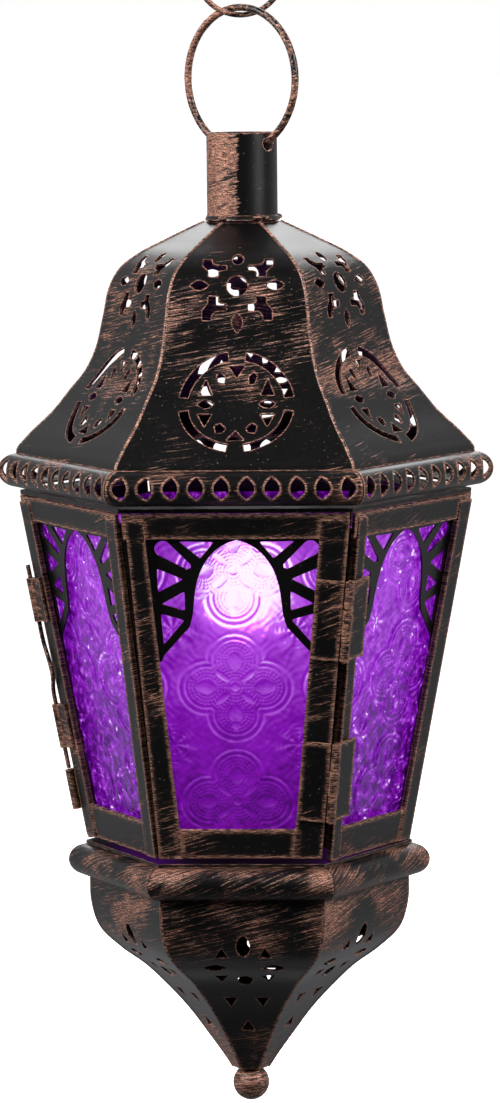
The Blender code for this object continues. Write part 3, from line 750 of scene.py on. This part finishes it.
def relief(u, s):
    """Height of the pressed pattern in mm: quatrefoils with ribbed lobes, sprays, a pebbled ground."""
    pitch_u, pitch_s, first = 33.0, 32.0, 16.4
    column = np.round(u / pitch_u)
    x = u - column * pitch_u
    row = np.round((s - first) / pitch_s)
    y = s - first - row * pitch_s
    lobes = np.array([(7.6, 0), (-7.6, 0), (0, 7.5), (0, -7.5)])
    gaps = np.stack([np.hypot(x - cx, y - cy) - 7.3 for cx, cy in lobes])
    nearest = gaps.argmin(axis=0)
    edge = np.minimum(gaps.min(axis=0), np.hypot(x, y) - 10.1)
    height = 0.40 * ridge(edge, 0.5) + 0.26 * ridge(edge + 1.6, 0.4)
    way = np.arctan2(y - lobes[nearest, 1], x - lobes[nearest, 0])
    ribs = (0.5 + 0.5 * np.cos(2 * pi * edge / 0.92)) * (0.6 + 0.4 * np.cos(26 * way))
    figures = np.zeros_like(x)
    for cx, cy, a, b, tilted in (
        (8.0, 0, 2.7, 1.75, 0), (-8.0, 0, 2.7, 1.75, 0), (0, 7.2, 1.7, 2.5, 0), (0, -7.4, 1.9, 2.7, 0),
        (3.4, 3.1, 2.4, 0.95, 40), (-3.4, 3.1, 2.4, 0.95, -40), (3.4, -3.1, 2.4, 0.95, -40),
        (-3.4, -3.1, 2.4, 0.95, 40), (0, 0, 1.15, 1.15, 0), (0, -10.6, 1.1, 1.4, 0),
    ):
        figures = np.maximum(figures, oval(x, y, cx, cy, a, b, tilted))
    height += np.where((edge < -2.3) & (figures <= 0), 0.15 * ribs, 0)
    height += 0.42 * figures
    corner_x = u - (np.floor(u / pitch_u) + 0.5) * pitch_u
    corner_y = s - first - (np.floor((s - first) / pitch_s) + 0.5) * pitch_s
    spray = np.hypot(corner_x, corner_y)
    turn = np.arctan2(corner_y, corner_x)
    leaves = np.abs(np.cos(4 * turn)) ** 2 * np.clip(spray / 2.0, 0, 1) * np.clip((7.4 - spray) / 2.2, 0, 1)
    veins = 0.5 + 0.5 * np.cos(2 * pi * spray / 1.2)
    height += np.where(edge > 0.9, 0.34 * leaves * (0.7 + 0.3 * veins) + 0.3 * ridge(spray, 0.9), 0)
    ground = np.sin(u * 1.9 + 1.3 * np.sin(s * 0.9)) * np.sin(s * 2.1 + 1.1 * np.sin(u * 1.1))
    ground += 0.6 * np.sin(u * 0.8 + 2.0 * np.sin(s * 0.37)) * np.sin(s * 0.66 + 1.7 * np.sin(u * 0.53))
    return height + np.where(edge > 0.9, 0.06, 0.03) * ground


# The flame is set in these nodes once it is made, so the panes' painted glow is measured from it
painted_glow_places = []


def glass_paint(name, rough, painted_glint_gain):
    """Purple pressed glass that glows where it is near the flame, read in the flame's own space: the glow is
    painted light in the emission, standing in for the flame shining through, with a painted white glare core,
    painted highlight and shade on the relief, and painted glints.
    """
    made, tree, surface = shader(name, Roughness=0.13, IOR=1.5)
    surface.inputs["Transmission Weight"].default_value = 0.6
    point = place_mm(tree)
    cloudy = noise(tree, point, 0.14, 4, 0.6, 0.6)
    pebbles = noise(tree, point, 0.9, 4, 0.65)
    colour = mixed(tree, cloudy, (0.07, 0.002, 0.17), (0.24, 0.02, 0.42))
    link(tree, colour, surface.inputs["Base Color"])
    # Painted highlight and shade of the pressed relief, read from the pane's point attribute
    painted_relief_shading = add(tree, "ShaderNodeAttribute", attribute_name="painted_relief_shading").outputs["Fac"]
    flame_place = add(tree, "ShaderNodeTexCoord")
    painted_glow_places.append(flame_place)
    gap = add(tree, "ShaderNodeVectorMath", operation="DISTANCE")
    link(tree, mapped(tree, flame_place.outputs["Object"], IN_MM), gap.inputs[0])
    gap.inputs[1].default_value = PAINTED_GLOW_CENTRE
    # Painted glow: brighter the nearer the flame, standing in for its light through the glass
    painted_glow = math(tree, "SUBTRACT", 1.0, step(tree, gap.outputs["Value"], 24, 80))
    painted_glow = math(tree, "POWER", painted_glow, 1.35)
    # Painted white glare close round the flame
    painted_glare_core = math(tree, "SUBTRACT", 1.0, step(tree, gap.outputs["Value"], 29.8, 35.5))
    wavy = math(tree, "MULTIPLY", math(tree, "SUBTRACT", cloudy, 0.5), 0.45)
    spots = math(tree, "SUBTRACT", noise(tree, point, 0.42, 3, 0.6), 0.5)
    spots = math(tree, "MULTIPLY", spots, math(tree, "SUBTRACT", 1.1, painted_glow))
    # Painted glints: small bright specks in the glow
    painted_glints = step(tree, noise(tree, point, 0.6, 0, 0.5), 0.77, 0.80)
    # Level of the painted glow: painted glow and glare, painted highlight and shade of the relief, clouding,
    # spots and painted glints
    painted_glow_level = math(tree, "ADD", math(tree, "MULTIPLY", painted_glow, 0.56), math(tree, "MULTIPLY", painted_relief_shading, 0.36))
    painted_glow_level = math(tree, "ADD", painted_glow_level, math(tree, "MULTIPLY", painted_glare_core, 0.5))
    painted_glow_level = math(tree, "ADD", painted_glow_level, math(tree, "ADD", wavy, math(tree, "MULTIPLY", spots, rough)))
    painted_glow_level = math(tree, "ADD", painted_glow_level, math(tree, "MULTIPLY", painted_glints, painted_glint_gain))
    # Painted glow colours, from dark violet through purple to a white painted glare
    low = mixed(tree, step(tree, painted_glow_level, -0.25, 0.24), (0.010, 0.0, 0.024), (0.15, 0.002, 0.29))
    middle = mixed(tree, step(tree, painted_glow_level, 0.18, 0.70), low, (0.42, 0.09, 0.66))
    high = mixed(tree, step(tree, painted_glow_level, 0.64, 0.98), middle, (1.0, 0.93, 1.0))
    link(tree, high, surface.inputs["Emission Color"])
    surface.inputs["Emission Strength"].default_value = 0.8
    bump = add(tree, "ShaderNodeBump")
    bump.inputs["Strength"].default_value = 0.3
    bump.inputs["Distance"].default_value = 0.0003
    link(tree, pebbles, bump.inputs["Height"])
    link(tree, bump.outputs["Normal"], surface.inputs["Normal"])
    return made


# The side panes get more spots and painted glints in their painted glow than the front pane, which gets none
front_glass = glass_paint("front_glass", 0.5, 0.0)
side_glass = glass_paint("side_glass", 3.0, 0.6)
ACROSS, UP = 150, 240
for index in FACES:
    left, right = STILE, (HINGE_STILE if index == 0 else STILE)
    heights = np.linspace(BOTTOM_RAILS.get(index, 8.9) - 2.6, slant - TOP_RAIL + 1.6, UP)
    shares = np.linspace(0, 1, ACROSS)
    s, share = np.meshgrid(heights, shares, indexing="ij")
    lefts = -half_side(s) + left - 2.8
    u = lefts + share * (half_side(s) - right + 2.8 - lefts)
    shift = -0.9 if index == 0 else 9.0 * index
    pressed = relief(u - shift, s)
    slope_s = relief(u - shift, s + 0.15) - relief(u - shift, s - 0.15)
    slope_u = relief(u - shift + 0.15, s) - relief(u - shift - 0.15, s)
    # Painted highlight and shade: relief slopes facing the flame and raised ridges brighter, the others darker
    to_flame = np.stack([-u, 72.0 - s])
    to_flame /= np.maximum(np.hypot(*to_flame), 6.0)
    facing = (slope_u * to_flame[0] + slope_s * to_flame[1]) / 0.3
    painted_relief_shading = np.clip(facing * 2.6, -1, 1) * 0.8 + (pressed - 0.1) * 0.9
    front = on_face(index, u, s, GLASS_FRONT + 0.75 - pressed).reshape(-1, 3)
    back = on_face(index, u, s, GLASS_FRONT + 2.5).reshape(-1, 3)
    count = UP * ACROSS
    grid = np.arange(count).reshape(UP, ACROSS)
    quads = np.stack([grid[:-1, :-1], grid[:-1, 1:], grid[1:, 1:], grid[1:, :-1]], axis=-1).reshape(-1, 4)
    rim = np.concatenate([grid[0, :-1], grid[:-1, -1], grid[-1, :0:-1], grid[:0:-1, 0]])
    back_points = back[rim]
    rim_back = np.arange(count, count + len(rim))
    turned_rim = np.roll(rim, -1)
    sides = np.stack([turned_rim, rim, rim_back, np.roll(rim_back, -1)], axis=1)
    faces = quads.tolist() + sides.tolist() + [tuple(rim_back[::-1].tolist())]
    places = np.stack([u.ravel(), s.ravel()], axis=1)
    flats = np.concatenate([places, places[rim]])
    made = piece(f"pane_{index}", np.concatenate([front, back_points]), faces, owner(f"glass_{index}"),
                 front_glass if index == 0 else side_glass,
                 [f"glass_{index}"], "pane", flats, 50)
    made.visible_diffuse = False
    # Store the painted highlight and shade on the pane's points
    layer = made.data.attributes.new("painted_relief_shading", "FLOAT", "POINT")
    layer.data.foreach_set("value", np.concatenate([painted_relief_shading.ravel(), np.zeros(len(rim))]).astype(np.float32))


# ---------------------------------------------------------------- hinges, latch and plates

def repaint(paint, *names):
    for name in names:
        nodes[name].data.materials.clear()
        nodes[name].data.materials.append(paint)


plain_paint = brushed("plain_sheet", -0.1, flat=False, worn_width=0.3)
for which in ("upper", "lower"):
    repaint(hinge_paint, *(f"hinge_{which}_{end}" for end in ("door_leaf", "frame_leaf", "pin")))
repaint(small_paint, "latch_guide_upper", "latch_guide_lower", "latch_keeper")
repaint(plain_paint, "top_plate", "floor_plate", "door_corner_strip")


def corner_line(angle, z, reach):
    radius = BOTTOM_RADIUS + (TOP_RADIUS - BOTTOM_RADIUS) * (z - BOTTOM) / (TOP - BOTTOM) + reach
    return Vector((radius * cos(angle), radius * sin(angle), z))


reach = 0.6 / (cos(HALF_TURN) * cos(lean))
rise = Vector((TOP_RADIUS - BOTTOM_RADIUS, 0, TOP - BOTTOM)).normalized()
along = Matrix.Rotation(pi, 3, "Z") @ rise
left_angle = face_angle(5)
normal = Vector((cos(left_angle) * cos(lean), sin(left_angle) * cos(lean), -sin(lean)))
side = along.cross(normal).normalized()
bolt_plan = (
    (-229.3, 0), (-220.0, 0), (-211.0, 0), (-208.3, 0.02), (-206.8, 0.6), (-204.6, 2.1), (-202.6, 2.6),
    (-200.0, 2.25), (-196.6, 1.0), (-194.4, 0.2), (-193.2, 0), (-188.4, 0), (-180.0, 0), (-172.8, 0),
)
out_way = side + normal * (0.35 / 2.6)
bolt_line = fine_line([tuple(corner_line(pi, z, reach) + out_way * r) for z, r in bolt_plan], 90)
piece("latch_wire", *swept(bolt_line.tolist(), 0.6, 12), owner("latch_bolt"), wire_paint,
      ["latch_bolt"], "wire")


# ---------------------------------------------------------------- hanging gear

link_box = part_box("chain_link")
ring_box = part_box("hanging_ring")
LINK_TURN, RING_TURN = radians(10), radians(-38)
LINK_RADIUS, LINK_WIRE = 12.0, 1.5
RING_RADIUS, RING_WIRE = 19.2, 2.0
link_middle = (link_box[0].z + link_box[1].z) / 2 / MM
ring_middle = (ring_box[0].z + ring_box[1].z) / 2 / MM
piece("chain_link_wire", *torus((0, 0, link_middle), LINK_TURN, LINK_RADIUS, LINK_WIRE), "hanger",
      wire_paint, ["chain_link"], "wire", smooth=60)
piece("hanging_ring_wire", *torus((0, 0, ring_middle), RING_TURN, RING_RADIUS, RING_WIRE, 128), "ring",
      wire_paint, ["hanging_ring"], "wire", smooth=60)
seam_turn = radians(-40)
seam = []
for a in (seam_turn - 0.03, seam_turn + 0.03):
    x = RING_RADIUS * sin(a)
    seam.append((x * cos(RING_TURN), x * sin(RING_TURN), ring_middle + RING_RADIUS * cos(a)))
piece("ring_butt_seam", *swept(seam, 1.06, 14), "ring", small_paint, slot="wire")

collar_low, collar_top = level("collar"), level("collar", True)
OUTER, INNER, HOLE, HOLE_Z = 9.6, 8.9, 2.1, -57.7
round_half = pi * OUTER
seam_at = radians(70)
hole_at = []
for direction in (RING_TURN, RING_TURN + pi):
    turn = (direction - seam_at) % (2 * pi) - pi
    hole_at.append(ellipse(turn * OUTER, HOLE_Z, 2 * HOLE, 2 * HOLE, 28))
columns = np.linspace(-round_half + 0.05, round_half - 0.05, 97)
collar_outline = [(float(c), collar_low) for c in columns] + [(float(c), collar_top) for c in columns[::-1]]
collar_lines = [(i, 2 * len(columns) - 1 - i) for i in range(1, len(columns) - 1)]
collar_flat, collar_triangles = pierced(collar_outline, hole_at, collar_lines)


def rolled(radius):
    def place(p):
        a = p[:, 0] / OUTER + seam_at + pi
        return np.stack([radius * np.cos(a), radius * np.sin(a), p[:, 1]], axis=1)
    return place


points, faces, flats = shell(collar_flat, collar_triangles, rolled(OUTER), rolled(INNER))
piece("collar_tube", points, faces, "lantern", collar_paint, ["collar"], "copper_edge", flats, 30)
crown_low, crown_top = level("crown_plate"), level("crown_plate", True)
points, faces, flats = turned([
    (7.0, crown_low), (9.9, crown_low), (10.2, crown_low + 0.3), (10.0, crown_top - 0.2),
    (9.8, crown_top + 0.1), (9.6, crown_top + 0.4), (9.4, crown_top + 0.5), (7.0, crown_top), (7.0, crown_low),
])
piece("crown_flange", points, faces, "lantern", collar_paint, ["crown_plate"], "blackened_steel", flats)


def lump(name, centre, size, body, seed, paint):
    """A small blob of solder."""
    chosen = np.random.default_rng(seed)
    rows, columns = 9, 14
    points = []
    for i in range(rows):
        polar = pi * i / (rows - 1)
        for j in range(columns):
            a = 2 * pi * j / columns
            swell = 1 + 0.12 * chosen.standard_normal() * sin(polar)
            out = swell * sin(polar)
            points.append((centre[0] + size[0] * out * cos(a), centre[1] + size[1] * out * sin(a),
                           centre[2] + size[2] * cos(polar)))
    faces = []
    for i in range(rows - 1):
        for j in range(columns):
            k = (j + 1) % columns
            faces.append((i * columns + j, (i + 1) * columns + j, (i + 1) * columns + k, i * columns + k))
    made = piece(name, points, faces, body, paint, slot="copper_edge", smooth=180)
    smoother = made.modifiers.new("Smooth", "SUBSURF")
    smoother.levels = smoother.render_levels = 1


for count, (angle, z, size) in enumerate((
    (-62, -77.6, (1.6, 1.6, 0.9)), (-48, -77.9, (1.2, 1.2, 0.8)), (-120, -77.8, (1.3, 1.3, 0.7)),
    (20, -77.8, (1.4, 1.4, 0.8)), (150, -77.8, (1.5, 1.5, 0.8)),
)):
    a = radians(angle)
    lump(f"collar_solder_{count}", (10.0 * cos(a), 10.0 * sin(a), z), size, "lantern", count, small_paint)


# ---------------------------------------------------------------- base tip, candle and flame

BALL_R, BALL_Z = 5.0, -317.4
ball = [(0, BALL_Z - BALL_R)]
ball += [(BALL_R * cos(radians(a)), BALL_Z + BALL_R * sin(radians(a))) for a in range(-86, 66, 4)]
ball += [(2.05, BALL_Z + BALL_R - 0.2), (2.0, BALL_Z + BALL_R + 3.0), (0, BALL_Z + BALL_R + 3.2)]
points, faces, flats = turned(ball, 56)
piece("finial_bead", points, faces, "lantern", bead_paint, ["finial_ball"], "copper_edge", flats)

cup_low, candle_low, candle_top = level("candle_cup"), level("candle"), level("candle", True)
tin_paint = mottled("tinned_cup", (0.30, 0.29, 0.28), (0.62, 0.60, 0.58), 0.4, 4,
                    Metallic=0.9, Roughness=0.3)[0]
points, faces, flats = turned([
    (0, cup_low), (20.4, cup_low), (21.0, cup_low + 0.5), (21.1, cup_low + 7.4), (21.4, cup_low + 8.0),
    (21.1, cup_low + 8.1), (20.6, cup_low + 7.5), (20.5, cup_low + 0.7), (0, cup_low + 0.6),
])
piece("candle_tin", points, faces, "lantern", tin_paint, ["candle_cup"], "tin", flats)

wax, wax_tree, wax_surface, wax_point = mottled(
    "candle_wax", (0.80, 0.70, 0.55), (0.9, 0.84, 0.74), 0.12, 3, Roughness=0.45)
wax_surface.inputs["Subsurface Weight"].default_value = 0.5
wax_surface.inputs["Subsurface Radius"].default_value = (0.006, 0.004, 0.002)
wax_bump = add(wax_tree, "ShaderNodeBump")
wax_bump.inputs["Strength"].default_value = 0.3
wax_bump.inputs["Distance"].default_value = 0.0004
link(wax_tree, noise(wax_tree, wax_point, 0.5, 4), wax_bump.inputs["Height"])
link(wax_tree, wax_bump.outputs["Normal"], wax_surface.inputs["Normal"])
points, faces, flats = turned([
    (0, candle_low), (18.2, candle_low), (18.8, candle_low + 0.6), (19.0, candle_low + 2.0), (18.9, -210),
    (19.0, candle_top - 1.6), (18.6, candle_top - 0.3), (17.6, candle_top), (16.2, candle_top - 0.5),
    (12.5, candle_top - 1.8), (8.0, candle_top - 2.4), (3.0, candle_top - 2.5), (1.2, candle_top - 2.4),
    (1.1, candle_top - 6), (0, candle_top - 6),
])
piece("candle_body", points, faces, "candle", wax, ["candle"], "wax", flats)
charred = mottled("charred_wick", (0.01, 0.008, 0.007), (0.06, 0.05, 0.04), 1.5, 3, Roughness=0.9)[0]
wick_line = fine_line([(0, 0, candle_top - 5.7), (0, 0, candle_top - 1.0), (0.2, 0, candle_top + 1.5),
                       (0.6, 0, candle_top + 3.8), (1.2, 0.1, candle_top + 5.6)], 16)
piece("wick_cord", *swept(wick_line.tolist(), 0.62, 10), "candle", charred, ["wick"], "charred", smooth=60)

flame_paint, flame_tree, flame_surface = shader("flame", Roughness=1.0)
flame_height = add(flame_tree, "ShaderNodeSeparateXYZ")
link(flame_tree, place_mm(flame_tree), flame_height.inputs[0])
flame_share = step(flame_tree, flame_height.outputs["Z"], candle_top, candle_top + 30)
flame_mix = mixed(flame_tree, flame_share, (1.0, 0.82, 0.9), (1.0, 0.93, 0.86))
link(flame_tree, flame_mix, flame_surface.inputs["Emission Color"])
flame_surface.inputs["Emission Strength"].default_value = 40.0
flame_low = candle_top + 2.0
points, faces, flats = turned([
    (0.0, flame_low), (3.0, flame_low + 0.8), (5.8, flame_low + 3.0), (7.0, flame_low + 6.5),
    (7.0, flame_low + 10), (6.0, flame_low + 14.5), (4.2, flame_low + 18.5), (2.0, flame_low + 22.5),
    (0.0, flame_low + 26),
], 32)
flame = piece("flame", points, faces, "candle", flame_paint, slot="wax", flat=flats, smooth=180)
flame.visible_diffuse = flame.visible_glossy = False
# The panes' painted glow is measured from the flame
for place in painted_glow_places:
    place.object = flame


# ---------------------------------------------------------------- stage, light and camera

def plane(name, half_size, height, paint):
    points = [(x * half_size, y * half_size, height) for x, y in ((-1, -1), (1, -1), (1, 1), (-1, 1))]
    mesh = bpy.data.meshes.new(name)
    mesh.from_pydata(points, [], [(0, 1, 2, 3)])
    mesh.materials.append(paint)
    made = bpy.data.objects.new(name, mesh)
    bpy.context.scene.collection.objects.link(made)
    return made


floor_paint, floor_tree, floor_surface = shader("pale_floor", Roughness=0.8)
floor_point = add(floor_tree, "ShaderNodeTexCoord").outputs["Object"]
floor_mix = mixed(floor_tree, noise(floor_tree, floor_point, 3.0, 2), (0.9, 0.9, 0.9), (0.94, 0.94, 0.94))
link(floor_tree, floor_mix, floor_surface.inputs["Base Color"])
floor_surface.inputs["Emission Color"].default_value = (1, 1, 1, 1)
floor_surface.inputs["Emission Strength"].default_value = 1.0
floor = plane("floor", 30.0, -0.46, floor_paint)
floor.visible_glossy = floor.visible_diffuse = False

world = bpy.data.worlds.new("studio")
bpy.context.scene.world = world
world.use_nodes = True
sky = world.node_tree
background = sky.nodes["Background"]
direction = add(sky, "ShaderNodeSeparateXYZ")
link(sky, add(sky, "ShaderNodeTexCoord").outputs["Generated"], direction.inputs[0])
behind = step(sky, direction.outputs["Y"], -0.15, 0.55)
below = math(sky, "MULTIPLY", step(sky, direction.outputs["Z"], -0.25, -0.9), 0.25)
link(sky, mixed(sky, math(sky, "MAXIMUM", behind, below), (0.035, 0.035, 0.036), (0.95, 0.96, 1.0)),
     background.inputs["Color"])
background.inputs["Strength"].default_value = 0.4
shown = add(sky, "ShaderNodeBackground")
shown.inputs["Color"].default_value = (1, 1, 1, 1)
shown.inputs["Strength"].default_value = 1.0
pick = add(sky, "ShaderNodeMixShader")
link(sky, add(sky, "ShaderNodeLightPath").outputs["Is Camera Ray"], pick.inputs[0])
link(sky, background.outputs[0], pick.inputs[1])
link(sky, shown.outputs[0], pick.inputs[2])
link(sky, pick.outputs[0], sky.nodes["World Output"].inputs[0])

MIDDLE = Vector((0, 0, -0.1694))


def soft_light(name, azimuth, elevation, distance, size, power):
    a, e = radians(azimuth), radians(elevation)
    data = bpy.data.lights.new(name, "AREA")
    data.shape = "RECTANGLE"
    data.size, data.size_y = size
    data.energy = power
    made = bpy.data.objects.new(name, data)
    made.location = MIDDLE + distance * Vector((sin(a) * cos(e), -cos(a) * cos(e), sin(e)))
    made.rotation_euler = (MIDDLE - made.location).to_track_quat("-Z", "Y").to_euler()
    bpy.context.scene.collection.objects.link(made)
    return made


soft_light("left_softbox", -58, 30, 1.3, (0.4, 0.7), 17)
soft_light("right_softbox", 60, 28, 1.3, (0.4, 0.7), 15)
soft_light("top_light", 0, 62, 1.4, (0.7, 0.4), 12).visible_glossy = False
soft_light("back_light", 180, 35, 1.4, (1.0, 0.8), 10)

DISTANCE, AZIMUTH, ELEVATION, ROLL = 1.298, radians(2.9), radians(6.5), radians(-0.58)
back_way = Vector((sin(AZIMUTH) * cos(ELEVATION), -cos(AZIMUTH) * cos(ELEVATION), sin(ELEVATION)))
right_way = Vector((cos(AZIMUTH), sin(AZIMUTH), 0))
camera_data = bpy.data.cameras.new("camera")
camera_data.sensor_fit = "VERTICAL"
camera_data.sensor_height = 36.0
camera_data.lens = 154.6
camera = bpy.data.objects.new("camera", camera_data)
bpy.context.scene.collection.objects.link(camera)
aim = MIDDLE + right_way * 0.00113
camera.location = aim + back_way * DISTANCE
look = (-back_way).to_track_quat("-Z", "Y")
camera.rotation_euler = (look @ Matrix.Rotation(ROLL, 3, "Z").to_quaternion()).to_euler()
bpy.context.scene.camera = camera
bpy.context.scene.view_settings.view_transform = "Standard"
